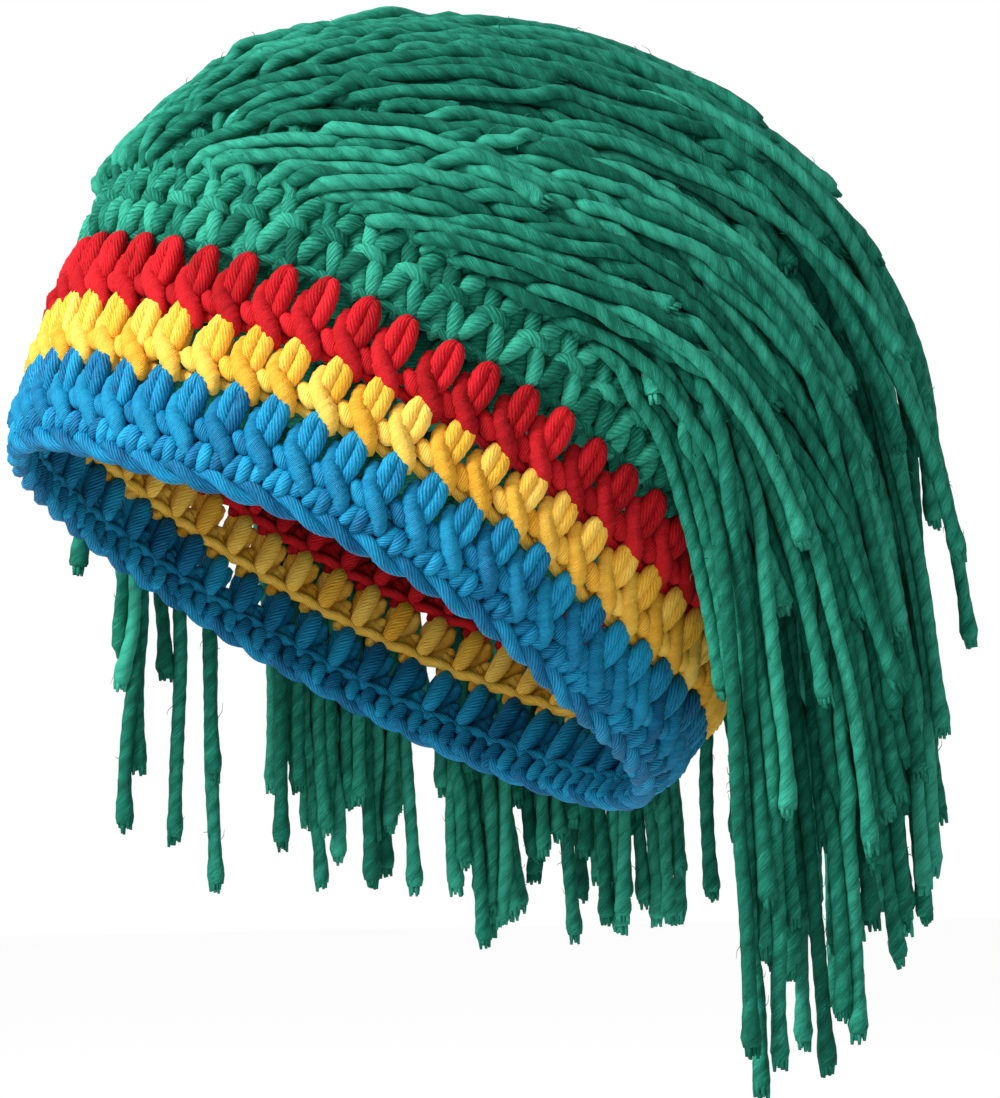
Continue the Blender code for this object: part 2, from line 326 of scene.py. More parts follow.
def smooth_rows(controls, count):
    """Catmull-Rom curves through rows of points: (yarns, points, values) to count points."""
    controls = np.asarray(controls, dtype=float)
    ends = (2.0 * controls[:, :1] - controls[:, 1:2], 2.0 * controls[:, -1:] - controls[:, -2:-1])
    padded = np.concatenate((ends[0], controls, ends[1]), axis=1)
    steps = controls.shape[1] - 1
    place = np.linspace(0.0, steps, count)
    first = np.minimum(place.astype(int), steps - 1)
    t = (place - first)[None, :, None]
    a, b, c, d = (padded[:, first + k] for k in range(4))
    return 0.5 * (
        2.0 * b + (c - a) * t + (2.0 * a - 5.0 * b + 4.0 * c - d) * t ** 2
        + (3.0 * b - a - 3.0 * c + d) * t ** 3
    )


def transport_frames(paths):
    """Tangents and two side directions along each path, turned as little as possible."""
    tangents = unit(np.gradient(paths, axis=1))
    helper = np.where(np.abs(tangents[:, :1, 2:]) > 0.8, (1.0, 0.0, 0.0), (0.0, 0.0, 1.0))[:, 0]
    side = unit(np.cross(tangents[:, 0], helper))
    sides = [side]
    for index in range(1, paths.shape[1]):
        along = tangents[:, index]
        side = unit(side - along * np.sum(side * along, axis=1, keepdims=True))
        sides.append(side)
    sides = np.stack(sides, axis=1)
    return tangents, sides, np.cross(tangents, sides)


class YarnMesh:
    """Collects tubes of yarn for one piece, with the coordinates that its material reads."""

    def __init__(self):
        self.points = []
        self.quads = []
        self.caps = []
        self.yarn = []
        self.ply = []
        self.tone = []
        self.count = 0

    def add_tubes(self, paths, radii, angles, streak=0.0, tones=None, section=None):
        """Sweep a ring along each path: radii and angles are (tubes, rings, sides)."""
        tubes, rings = paths.shape[:2]
        sides = angles.shape[-1]
        tangents, across, beside = transport_frames(paths)
        wave = np.cos(angles)[..., None] * across[:, :, None] + np.sin(angles)[..., None] * beside[:, :, None]
        points = paths[:, :, None] + wave * radii[..., None]
        steps = np.linalg.norm(np.diff(paths, axis=1), axis=2)
        run = np.concatenate((np.zeros((tubes, 1)), np.cumsum(steps, axis=1)), axis=1)
        tones = rng.random(tubes) if tones is None else tones
        fibre = angles - streak * run[..., None] + 6.0 * tones[:, None, None]
        start = 0.9 * tones[:, None, None] + np.zeros_like(fibre)
        mean = radii.mean()
        self.yarn.append(np.stack((
            mean * np.cos(fibre), mean * np.sin(fibre), run[..., None] + start,
        ), axis=-1).reshape(-1, 3))
        # The ply attribute holds the angle across the two-ply section; the mane's material bumps the crease from
        # it and darkens it as painted shade.
        section = angles if section is None else section + np.zeros_like(angles)
        self.ply.append(np.stack((
            np.cos(2.0 * section), np.sin(2.0 * section), np.zeros_like(section),
        ), axis=-1).reshape(-1, 3))
        self.tone.append(np.repeat(tones, rings * sides))
        self.points.append(points.reshape(-1, 3))
        index = self.count + np.arange(tubes * rings * sides).reshape(tubes, rings, sides)
        after = np.roll(index, -1, axis=2)
        self.quads.append(np.stack((
            index[:, :-1], after[:, :-1], after[:, 1:], index[:, 1:],
        ), axis=-1).reshape(-1, 4))
        self.caps.append(index[:, 0, ::-1])
        self.caps.append(index[:, -1])
        self.count += tubes * rings * sides

    def build(self, name, material):
        mesh = bpy.data.meshes.new(name)
        points = np.concatenate(self.points)
        faces = [np.concatenate(self.quads)] + self.caps
        corners = np.concatenate([group.ravel() for group in faces])
        sizes = np.concatenate([np.full(len(group), group.shape[1]) for group in faces])
        starts = np.concatenate(([0], np.cumsum(sizes)[:-1]))
        mesh.vertices.add(len(points))
        mesh.vertices.foreach_set("co", points.ravel())
        mesh.loops.add(len(corners))
        mesh.loops.foreach_set("vertex_index", corners)
        mesh.polygons.add(len(sizes))
        mesh.polygons.foreach_set("loop_start", starts)
        mesh.polygons.foreach_set("use_smooth", np.ones(len(sizes), dtype=bool))
        for key, rows in (("yarn", self.yarn), ("ply", self.ply)):
            layer = mesh.attributes.new(key, "FLOAT_VECTOR", "POINT")
            layer.data.foreach_set("vector", np.concatenate(rows).ravel())
        layer = mesh.attributes.new("tone", "FLOAT", "POINT")
        layer.data.foreach_set("value", np.concatenate(self.tone))
        mesh.update(calc_edges=True)
        mesh.validate()
        mesh.materials.append(material)
        piece = bpy.data.objects.new(name, mesh)
        bpy.context.scene.collection.objects.link(piece)
        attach(piece, "root")
        return piece


def even_angles(sides):
    return np.arange(sides) * (2.0 * math.pi / sides)


def rounded_ends(count, tip=0.35):
    """Radius shares that close a tube softly at both ends."""
    shares = np.ones(count)
    shares[0] = shares[-1] = tip
    return shares


def lay_stitch_yarns(
        mesh, yarn_mm, stitches, heights, pitch_mm, rings, sides, streak, ridge, shift_mm, slope=1.0):
    """Lay one yarn of the stitch at every place, with a little of a hand's unevenness."""
    tubes = len(stitches)
    rows = np.repeat(np.asarray(yarn_mm)[None], tubes, axis=0)
    rows = rows + shift_mm[:, None] + rng.normal(0.0, 1.0, rows.shape) * (0.10, 0.10, 0.08, 0.04)
    rows = smooth_rows(rows, rings)
    stitch = np.asarray(stitches)[:, None] + rows[..., 0] / pitch_mm
    height = np.asarray(heights)[:, None] + rows[..., 1] * slope * MM
    points, _ = place_on_hat(stitch, height, rows[..., 2] * MM)
    angles = np.broadcast_to(even_angles(sides), (tubes, rings, sides))
    spans = np.linalg.norm(np.diff(np.asarray(yarn_mm)[:, :3], axis=0), axis=1)
    run = np.linspace(0.0, 1.0, rings) * spans.sum()
    wave = 1.0 + ridge * np.cos(2.0 * math.pi * run[None, :, None] / RIDGE_PITCH_MM - angles)
    radii = rows[..., 3:] * MM * rounded_ends(rings)[None, :, None] * wave
    mesh.add_tubes(points, radii, angles, streak / MM)


def uneven_shifts(count, amount=1.0):
    return rng.normal(0.0, 1.0, (count, 4)) * np.array((0.30, 0.35, 0.18, 0.05)) * amount


def lay_posts(mesh, tip, row):
    """A row of tall crochet stitches with their finger tips at a height."""
    stitches = np.arange(STITCHES) + 1.0 + LEAN_PER_ROW * row
    shift = uneven_shifts(STITCHES)
    heights = np.full(STITCHES, tip - POST_DEPTH_MM * MM)
    for yarn_mm, rings, sides, streak, ridge in POST_YARNS:
        lay_stitch_yarns(mesh, yarn_mm, stitches, heights, STITCH_MM, rings, sides, streak, ridge, shift)
    lay_chain(mesh, tip - 0.0190, row)


def lay_rim_rope(mesh):
    """Two strands twisted once round each other for every two stitches along the rim."""
    rings = STITCHES * 9 + 1
    stitch = np.linspace(0.0, STITCHES, rings)
    for phase in (0.0, math.pi):
        turn = -2.0 * math.pi * stitch / STITCHES * ROPE_TURNS + phase
        height = (ROPE_HEIGHT_MM + ROPE_OFFSET_MM * np.sin(turn)) * MM
        relief = (-ROPE_RADIUS_MM - 0.5 + ROPE_OFFSET_MM * np.cos(turn)) * MM
        points, _ = place_on_hat(stitch[None], height[None], relief[None])
        radii = np.full((1, rings, 8), ROPE_RADIUS_MM * MM)
        mesh.add_tubes(points, radii, np.broadcast_to(even_angles(8), radii.shape), 0.34 / MM)


def lay_chain(mesh, height, row):
    """The strand behind the post tips that closes the fabric between two rows."""
    rings = STITCHES * 4 + 1
    stitch = np.linspace(0.0, STITCHES, rings)
    wave = 0.7 * np.cos(2.0 * math.pi * (stitch - LEAN_PER_ROW * row)) * MM
    points, _ = place_on_hat(stitch[None], height + wave[None], np.full((1, rings), -3.4 * MM))
    radii = np.full((1, rings, 7), CHAIN_RADIUS_MM * MM)
    mesh.add_tubes(points, radii, np.broadcast_to(even_angles(7), radii.shape), 0.34 / MM)


def lay_low_row(mesh):
    stitches = np.arange(STITCHES) + 1.0
    shift = uneven_shifts(STITCHES, 0.6)
    heights = np.zeros(STITCHES)
    for yarn_mm in LOW_BEADS_MM:
        lay_stitch_yarns(mesh, yarn_mm, stitches, heights, STITCH_MM, 9, 8, 0.5, 0.0, shift)


def crown_rows():
    """Height and stitches round of every green row, up to the top of the dome."""
    rows = [(CROWN_START, STITCHES)]
    turn = 0.0
    while turn < CROWN_LAST_TURN:
        rows.append((DOME_BASE + DOME_RISE * math.sin(turn), max(7, round(STITCHES * math.cos(turn)))))
        turn += CROWN_ROW_STEP / math.hypot(DOME_HALF_LENGTH * math.sin(turn), DOME_RISE * math.cos(turn))
    return rows


def lay_crown_rows(mesh):
    for row, (height, count) in enumerate(crown_rows()):
        share = half_length(np.float64(height)) / DOME_HALF_LENGTH
        stitches = (np.arange(count) + 0.5 * (row % 2)) * STITCHES / count
        rise = max(height - DOME_BASE, 0.0) / DOME_RISE
        slope = float(math.sqrt(max(1.0 - rise ** 2, 0.04)))
        pitch_mm = STITCH_MM * float(share)
        shift = uneven_shifts(count, 0.6)
        yarns = CROWN_YARNS_MM if row < OPEN_CROWN_ROWS else CROWN_YARNS_MM[:4]
        for yarn_mm in yarns:
            lay_stitch_yarns(
                mesh, yarn_mm, stitches, np.full(count, height), pitch_mm, 6, 6, 0.5, 0.0, shift, slope)
        if row < OPEN_CROWN_ROWS:
            lay_chain(mesh, height - 0.005, 0)


def push_clear(points, clearance):
    """Move world points out to their clearance from the hat, and say which were inside."""
    local = points @ TILT
    shift = dome_shift(local[..., 2])
    local[..., 1] -= shift
    length = half_length(np.minimum(local[..., 2], DOME_BASE)) + clearance
    width = WIDTH_RATIO * (length - clearance) + clearance
    rise = DOME_RISE + clearance
    above = np.maximum(local[..., 2] - DOME_BASE, 0.0)
    share = np.sqrt((local[..., 0] / width) ** 2 + (local[..., 1] / length) ** 2 + (above / rise) ** 2)
    normal = unit(np.stack((
        local[..., 0] / width ** 2, local[..., 1] / length ** 2, above / rise ** 2), axis=-1)) @ TILT.T
    inside = (share < 1.0) & (local[..., 2] > 0.0)
    scale = np.where(inside, 1.0 / np.maximum(share, 1e-6), 1.0)
    moved = local.copy()
    moved[..., 0] *= scale
    moved[..., 1] = moved[..., 1] * scale + shift
    moved[..., 2] = np.where(above > 0.0, DOME_BASE + above * scale, local[..., 2])
    return moved @ TILT.T, normal, inside


def strand_roots():
    """Two strands from every knot: stitch, height and the knot's own number."""
    rows = []
    for row, (height, count) in enumerate(KNOT_ROWS):
        share = float(half_length(np.float64(height))) / DOME_HALF_LENGTH
        for index in range(count):
            stitch = (index + 0.5 * (row % 2) + 0.3) * STITCHES / count
            is_far = FAR_SIDE[0] < signed_angle(stitch) < FAR_SIDE[1]
            if is_far and rng.random() > FAR_SIDE_SHARE:
                continue
            for side in (-1.0, 1.0):
                rows.append((stitch + side * ROOT_SPREAD_MM / (STITCH_MM * share), height, len(rows) // 2))
    rows = np.array(rows)
    rows[:, 0] += rng.normal(0.0, 0.06, len(rows))
    rows[:, 1] += rng.normal(0.0, 0.0010, len(rows))
    return rows


def signed_angle(stitch):
    """Root angle in degrees: 0 at the brow, positive towards the wearer's left."""
    angle = np.degrees(stitch_angle(stitch))
    return np.where(angle > 180.0, angle - 360.0, angle)


def march_strands(roots):
    """Paths of the strands: off the knot, combed over the crown, then falling."""
    count = len(roots)
    knots = roots[:, 2].astype(int)
    lengths = STRAND_LENGTH + STRAND_LENGTH_SPREAD * rng.uniform(-1.0, 1.0, count)
    step = (lengths / MARCH_STEPS)[:, None]
    starts, normals = place_on_hat(roots[:, 0], roots[:, 1], np.full(count, 0.0005))
    table = np.array(HAIRLINE)
    level = half_length(roots[:, 1]) / DOME_HALF_LENGTH
    angle = signed_angle(roots[:, 0])
    combed = (angle > HAIRLINE_FRONT[0]) & (angle < HAIRLINE_FRONT[1])
    nearest = np.where(combed, 0.0, np.copysign(180.0, angle))
    angle = nearest + (angle - nearest) * (0.4 + 0.6 * level)
    hang_x, hang_y, sweep, tip, nape = (np.interp(angle, table[:, 0], column) for column in table.T[1:])
    hang = np.column_stack((hang_x, hang_y))
    outward = unit(np.column_stack((hang, np.zeros(count))))
    depth = LOCK_DEPTH + (NAPE_DEPTH - LOCK_DEPTH) * nape - ROOT_DEPTH
    before = np.clip(starts[:, 1] - FRONT_EDGE, 0.0, 0.2)
    layer = np.clip(1.0 - before / LAYER_REACH + rng.normal(0.0, 0.18, count), 0.0, 1.0)
    short = (rng.random(count) < SHORT_SHARE) & ((angle > SHORT_ANGLE) | (nape > 0.5))
    short &= np.abs(angle) < LAST_SHORT_ANGLE
    layer = np.where(short, np.clip(layer + 0.35, 0.7, 1.0), layer)
    is_back = np.abs(angle) > BACK_ANGLE
    layer = np.where(is_back, np.maximum(layer, rng.random(count)), layer)
    hang *= 1.0 + nape[:, None] * (0.08 * layer[:, None] - 0.04)
    hang += rng.normal(0.0, 0.006, (knots.max() + 1, 2))[knots] + rng.normal(0.0, 0.003, (count, 2))
    hang[:, 1] = np.minimum(hang[:, 1], BACK_LIMIT)
    flare = nape * (FLARE * layer - TAPER * (1.0 - layer)) * rng.uniform(0.6, 1.3, count)
    flare = np.where(is_back, 0.3 * flare, flare)
    tip = tip + nape * layer * LAYER_LIFT * rng.uniform(0.3, 1.3, count)
    tip = tip + short * rng.uniform(*SHORT_LIFT, count)
    wander = rng.uniform(0.0, 2.0 * math.pi, knots.max() + 1)[knots] + rng.normal(0.0, 0.9, count)
    wander_rate = rng.uniform(45.0, 90.0, count)
    droop = rng.uniform(0.7, 1.3, count)
    point = starts.copy()
    comb = unit(np.column_stack((hang - starts[:, :2], np.zeros(count))))
    loft = np.where(is_back, BACK_LOFT, 0.6)[:, None]
    heading = unit(loft * normals + 1.4 * comb + 0.30 * rng.normal(0.0, 1.0, (count, 3)))
    path = [point]
    for index in range(MARCH_STEPS):
        run = (index + 1) * step[:, 0]
        ahead = np.column_stack((hang - point[:, :2], np.zeros(count)))
        pull = smooth_share(np.linalg.norm(ahead, axis=1) / sweep)[:, None]
        room = np.clip((BACK_LIMIT - point[:, 1]) / 0.015, -0.3, 1.0)
        down = unit(outward * (flare * room)[:, None] + (0.0, 0.0, -1.0))
        wanted = down * (1.0 - pull) + unit(ahead) * pull
        wanted[:, 2] -= droop * (DROOP + 1.5 * (run / STRAND_LENGTH) ** 2)
        beside = unit(np.cross(wanted, (0.001, 0.001, -1.0)))
        wanted = unit(wanted + 0.28 * np.sin(wander + wander_rate * run)[:, None] * beside)
        ease = smooth_share((index - 1) / 6.0)
        blend = (0.5 + (STIFFNESS + NAPE_STIFFNESS * nape - 0.5) * ease)[:, None]
        heading = unit(heading * blend + wanted * (1.0 - blend))
        curl = CURL_HEIGHT * np.exp(-((run - CURL_RUN) / CURL_RUN) ** 2)
        share = smooth_share((before + run) / THICKENING_RUN) ** 3
        clearance = SEAT + layer * (ROOT_DEPTH + depth * share) + curl
        moved, normal, inside = push_clear(point + heading * step, clearance)
        along = unit(heading - normal * np.sum(heading * normal, axis=1, keepdims=True))
        heading = np.where(inside[:, None], along, heading)
        point = moved
        path.append(point)
    return cut_to_length(np.stack(path, axis=1), lengths, tip)


def cut_to_length(paths, lengths, tip):
    """Cut each strand where it would hang below the mane's uneven lower edge."""
    count = paths.shape[1]
    lowest = tip + TIP_SPREAD * rng.uniform(-0.5, 1.5, len(paths))
    shares = np.mean(paths[:, :, 2] > lowest[:, None], axis=1)
    cut = np.empty_like(paths)
    for index, share in enumerate(shares):
        place = np.linspace(0.0, share * (count - 1), count)
        for axis in range(3):
            cut[index, :, axis] = np.interp(place, np.arange(count), paths[index, :, axis])
    return cut, lengths * shares


def close_pairs(points, reach):
    """Pairs of points closer than reach, found through a grid of cells."""
    cells = np.floor(points / reach).astype(np.int64)
    cells -= cells.min(axis=0) - 1
    span = cells.max(axis=0) + 2
    keys = (cells[:, 0] * span[1] + cells[:, 1]) * span[2] + cells[:, 2]
    order = np.argsort(keys, kind="stable")
    sorted_keys = keys[order]
    firsts = []
    seconds = []
    for dx in (-1, 0, 1):
        for dy in (-1, 0, 1):
            for dz in (-1, 0, 1):
                wanted = keys + (dx * span[1] + dy) * span[2] + dz
                low = np.searchsorted(sorted_keys, wanted, "left")
                size = np.searchsorted(sorted_keys, wanted, "right") - low
                first = np.repeat(np.arange(len(points)), size)
                inner = np.arange(size.sum()) - np.repeat(np.cumsum(size) - size, size)
                second = order[np.repeat(low, size) + inner]
                keep = first < second
                firsts.append(first[keep])
                seconds.append(second[keep])
    first = np.concatenate(firsts)
    second = np.concatenate(seconds)
    near = np.linalg.norm(points[first] - points[second], axis=1) < reach
    return first[near], second[near]


def relax_strands(paths, lengths):
    """Push strands off each other and off the crown, and keep their lengths."""
    strands, count = paths.shape[:2]
    owner = np.repeat(np.arange(strands), count)
    segment = (lengths / (count - 1))[:, None, None]
    reach = 1.92 * STRAND_RADIUS
    loose = smooth_share(np.arange(count) / 4.0)[None, :, None]
    for _ in range(RELAX_ROUNDS):
        flat = paths.reshape(-1, 3)
        first, second = close_pairs(flat, reach)
        apart = owner[first] != owner[second]
        first = first[apart]
        second = second[apart]
        gap = flat[first] - flat[second]
        distance = np.linalg.norm(gap, axis=1, keepdims=True)
        push = 0.5 * (reach - distance) * gap / np.maximum(distance, 1e-6)
        moves = np.zeros_like(flat)
        np.add.at(moves, first, push)
        np.add.at(moves, second, -push)
        moves = moves.reshape(paths.shape)
        size = np.linalg.norm(moves, axis=2, keepdims=True)
        moves *= np.minimum(1.0, 0.0012 / np.maximum(size, 1e-9))
        paths = paths + moves * loose
        middle = 0.5 * (paths[:, :-2] + paths[:, 2:])
        paths[:, 1:-1] += 0.25 * (middle - paths[:, 1:-1]) * loose[:, 1:-1]
        paths = np.where(loose > 0.0, push_clear(paths, np.full(paths.shape[:2], SEAT - 0.0008))[0], paths)
        for index in range(1, count):
            step = paths[:, index] - paths[:, index - 1]
            size = np.linalg.norm(step, axis=1, keepdims=True)
            paths[:, index] = paths[:, index - 1] + step / size * segment[:, 0]
    return paths


def strand_tubes(mesh, paths, lengths, tones):
    """Two-ply strands: a ring with two low crests that turn along the yarn's twist."""
    points = smooth_rows(paths, STRAND_RINGS)
    run = np.linspace(0.0, 1.0, STRAND_RINGS)
    to_end = (1.0 - run) * lengths[:, None]
    flare = 1.0 + 0.36 * smooth_share(1.0 - to_end / 0.012)
    root = 0.80 + 0.20 * smooth_share(run / 0.05)
    fast = np.sin(run[None] * 23.0 + 9.0 * tones[:, None])
    slow = np.sin(run[None] * 11.0 + tones[:, None])
    swell = 1.0 + 0.06 * fast * slow
    angles = np.broadcast_to(even_angles(6), (*points.shape[:2], 6))
    turn = 2.0 * math.pi * run[None] * lengths[:, None] / TWIST_PITCH + 6.0 * tones[:, None]
    section = angles - turn[..., None]
    radii = STRAND_RADIUS * root * rounded_ends(STRAND_RINGS, 0.8)
    radii = (radii * flare * swell)[..., None] * (1.0 + PLY_DEPTH * np.cos(2.0 * section))
    # The section also goes to the ply attribute, from which the material darkens the crease between the plies as
    # painted shade.
    mesh.add_tubes(points, radii, angles, 2.0 * math.pi / TWIST_PITCH, tones, section)
    add_fray(mesh, points, tones)
    add_stray_fibres(mesh, points, tones)


def add_stray_fibres(mesh, points, tones):
    """Fine bent fibres that stand off the strands and make them look soft."""
    tangents, across, beside = transport_frames(points)
    strands = np.arange(len(points))
    for _ in range(STRAY_HAIRS):
        ring = rng.integers(4, points.shape[1] - 2, len(points))
        around = rng.uniform(0.0, 2.0 * math.pi, (len(points), 1))
        side = np.cos(around) * across[strands, ring] + np.sin(around) * beside[strands, ring]
        along = tangents[strands, ring] * rng.uniform(-1.0, 1.0, (len(points), 1))
        reach = rng.uniform(0.0015, 0.0040, (len(points), 1))
        start = points[strands, ring] + side * STRAND_RADIUS * 0.9
        middle = start + (0.7 * side + along) * reach * 0.5
        end = middle + (0.2 * side + 1.4 * along) * reach * 0.5
        paths = np.stack((start, middle, end), axis=1)
        radii = np.array((1.2, 1.0, 0.5))[None, :, None] * STRAY_RADIUS * np.ones((len(points), 1, 3))
        mesh.add_tubes(paths, radii, np.broadcast_to(even_angles(3), radii.shape), 0.0, tones)


def add_fray(mesh, points, tones):
    """Loose fibres at the cut end of every strand, like a short brush."""
    tangents, across, beside = transport_frames(points[:, -4:])
    for hair in range(FRAY_HAIRS):
        around = 2.0 * math.pi * hair / FRAY_HAIRS + 7.0 * tones
        side = np.cos(around)[:, None] * across[:, -1] + np.sin(around)[:, None] * beside[:, -1]
        lean = rng.uniform(-0.10, 0.22, (len(points), 1))
        reach = rng.uniform(0.0012, 0.0032, (len(points), 1))
        inset = rng.uniform(0.3, 0.9, (len(points), 1))
        start = points[:, -2] + side * STRAND_RADIUS * inset
        end = points[:, -1] + side * STRAND_RADIUS * inset + (tangents[:, -1] + side * lean) * reach
        paths = np.stack((start, 0.5 * (start + end), end), axis=1)
        radii = np.array((0.00085, 0.00080, 0.00045))[None, :, None] * np.ones((len(points), 1, 3))
        mesh.add_tubes(paths, radii, np.broadcast_to(even_angles(3), radii.shape), 0.0, tones)


def lay_knots(mesh, row):
    height, count = KNOT_ROWS[row]
    share = float(half_length(np.float64(height))) / DOME_HALF_LENGTH
    stitches = (np.arange(count) + 0.5 * (row % 2) + 0.3) * STITCHES / count
    lay_stitch_yarns(
        mesh, KNOT_MM, stitches, np.full(count, height), STITCH_MM * share, 14, 7, 0.4, 0.0, uneven_shifts(count))


def add_node(tree, kind, place, **settings):
    node = tree.nodes.new(kind)
    node.location = place
    for key, value in settings.items():
        setattr(node, key, value)
    return node


def yarn_material(name, dark_tone_and_shade, base, light, roughness, sheen, plies, ridge_bump_and_shade, crease_bump_and_shade=0.0):
    """Spun yarn: slanted plies, fibre streaks and uneven dye, with painted shade in the ply troughs and creases
    and painted highlights on the streaks.
    """
    material = bpy.data.materials.new(name)
    material.use_nodes = True
    tree = material.node_tree
    link = tree.links.new
    shader = tree.nodes["Principled BSDF"]
    shader.inputs["Roughness"].default_value = roughness
    shader.inputs["Sheen Weight"].default_value = sheen
    shader.inputs["Sheen Roughness"].default_value = 0.45
    shader.inputs["Sheen Tint"].default_value = (*base, 1.0)
    shader.inputs["Specular IOR Level"].default_value = 0.18

    yarn = add_node(tree, "ShaderNodeAttribute", (-1400, 200), attribute_name="yarn")
    ply = add_node(tree, "ShaderNodeAttribute", (-1400, -200), attribute_name="ply")
    tone = add_node(tree, "ShaderNodeAttribute", (-1400, -500), attribute_name="tone")
    parts = add_node(tree, "ShaderNodeSeparateXYZ", (-1200, 300))
    link(yarn.outputs["Vector"], parts.inputs[0])

    angle = add_node(tree, "ShaderNodeMath", (-1000, 400), operation="ARCTAN2")
    link(parts.outputs["Y"], angle.inputs[0])
    link(parts.outputs["X"], angle.inputs[1])
    turns = add_node(tree, "ShaderNodeMath", (-850, 400), operation="MULTIPLY")
    turns.inputs[1].default_value = plies
    link(angle.outputs[0], turns.inputs[0])
    wave = add_node(tree, "ShaderNodeMath", (-700, 400), operation="SINE")
    link(turns.outputs[0], wave.inputs[0])

    stretched = add_node(tree, "ShaderNodeVectorMath", (-1000, 150), operation="MULTIPLY")
    stretched.inputs[1].default_value = (4200.0, 4200.0, 420.0)
    link(yarn.outputs["Vector"], stretched.inputs[0])
    streak = add_node(tree, "ShaderNodeTexNoise", (-800, 150))
    streak.inputs["Scale"].default_value = 1.0
    streak.inputs["Detail"].default_value = 3.0
    link(stretched.outputs[0], streak.inputs["Vector"])

    patches = add_node(tree, "ShaderNodeTexNoise", (-800, -50))
    patches.inputs["Scale"].default_value = 170.0
    patches.inputs["Detail"].default_value = 2.0
    link(yarn.outputs["Vector"], patches.inputs["Vector"])

    crease_vector = add_node(tree, "ShaderNodeVectorMath", (-1200, -200), operation="NORMALIZE")
    link(ply.outputs["Vector"], crease_vector.inputs[0])
    crease_parts = add_node(tree, "ShaderNodeSeparateXYZ", (-1000, -200))
    link(crease_vector.outputs[0], crease_parts.inputs[0])
    crest = add_node(tree, "ShaderNodeMapRange", (-800, -250))
    crest.inputs["From Min"].default_value = -1.0
    crest.inputs["From Max"].default_value = 0.1
    link(crease_parts.outputs["X"], crest.inputs["Value"])

    # Ply ridges and fibre streaks: a height for the bump that also runs the colour ramp, so the ply troughs carry
    # painted shade and the streaks carry painted highlights.
    plied = add_node(tree, "ShaderNodeMath", (-550, 350), operation="MULTIPLY_ADD")
    plied.inputs[1].default_value = ridge_bump_and_shade
    link(wave.outputs[0], plied.inputs[0])
    link(streak.outputs["Fac"], plied.inputs[2])
    # The crease between the two plies: bumped in, and darkened in the colour ramp as painted shade.
    creased = add_node(tree, "ShaderNodeMath", (-400, 250), operation="MULTIPLY_ADD")
    creased.inputs[1].default_value = crease_bump_and_shade
    link(crest.outputs[0], creased.inputs[0])
    link(plied.outputs[0], creased.inputs[2])

    shade = add_node(tree, "ShaderNodeMath", (-400, 50), operation="MULTIPLY_ADD")
    shade.inputs[1].default_value = 0.45
    link(tone.outputs["Fac"], shade.inputs[0])
    link(creased.outputs[0], shade.inputs[2])
    patched = add_node(tree, "ShaderNodeMath", (-250, 50), operation="MULTIPLY_ADD")
    patched.inputs[1].default_value = 0.45
    link(patches.outputs["Fac"], patched.inputs[0])
    link(shade.outputs[0], patched.inputs[2])
    level = add_node(tree, "ShaderNodeMapRange", (-100, 50))
    level.inputs["From Min"].default_value = 0.45
    level.inputs["From Max"].default_value = 1.25 + crease_bump_and_shade
    link(patched.outputs[0], level.inputs["Value"])
    # The ramp runs from a dark tone that is also painted shade, through the yarn's own colour, to a light tone
    # that is also painted highlight; tone and patches are uneven dye.
    ramp = add_node(tree, "ShaderNodeValToRGB", (80, 100))
    ramp.color_ramp.elements[0].color = (*dark_tone_and_shade, 1.0)
    ramp.color_ramp.elements[1].color = (*light, 1.0)
    middle = ramp.color_ramp.elements.new(0.5)
    middle.color = (*base, 1.0)
    link(level.outputs[0], ramp.inputs["Fac"])
    link(ramp.outputs["Color"], shader.inputs["Base Color"])

    bump = add_node(tree, "ShaderNodeBump", (80, -250))
    bump.inputs["Strength"].default_value = 0.75
    bump.inputs["Distance"].default_value = 0.0005
    link(creased.outputs[0], bump.inputs["Height"])
    link(bump.outputs["Normal"], shader.inputs["Normal"])
    return material


def build_blue_band(material):
    mesh = YarnMesh()
    lay_rim_rope(mesh)
    lay_low_row(mesh)
    lay_posts(mesh, BLUE_TIP, 0)
    piece = mesh.build("blue_stitches", material)
    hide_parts("blue_band")


def build_post_band(name, node, tip, row, material):
    mesh = YarnMesh()
    lay_posts(mesh, tip, row)
    piece = mesh.build(name, material)
    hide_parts(node)


def build_crown(material):
    mesh = YarnMesh()
    lay_crown_rows(mesh)
    piece = mesh.build("crown_stitches", material)
    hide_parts("crown")


def build_mane(material):
    roots = strand_roots()
    paths, lengths = march_strands(roots)
    paths = relax_strands(paths, lengths)
    tones = rng.random(len(paths))
    knots = YarnMesh()
    lay_knots(knots, 0)
    lay_knots(knots, 1)
    lay_knots(knots, 2)
    piece = knots.build("mane_knots", material)
    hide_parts("yarn_mane")
    batch = 110
    for index, start in enumerate(range(0, len(paths), batch)):
        strands = YarnMesh()
        part = slice(start, start + batch)
        strand_tubes(strands, paths[part], lengths[part], tones[part])
        piece = strands.build("mane_strands_%d" % (index + 1), material)
        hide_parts("yarn_mane")


# The camera stands where the photograph's did: off the wearer's left, a little low.
CAMERA_AZIMUTH = math.radians(66.0)
CAMERA_ELEVATION = math.radians(-2.5)
CAMERA_DISTANCE = 1.2
CAMERA_LENS = 143.6
CAMERA_AIM = (0.047, 0.0229)
FLOOR_HEIGHT = -0.36
WORLD_LIGHT = 0.42
FLOOR_GLOW = 0.58


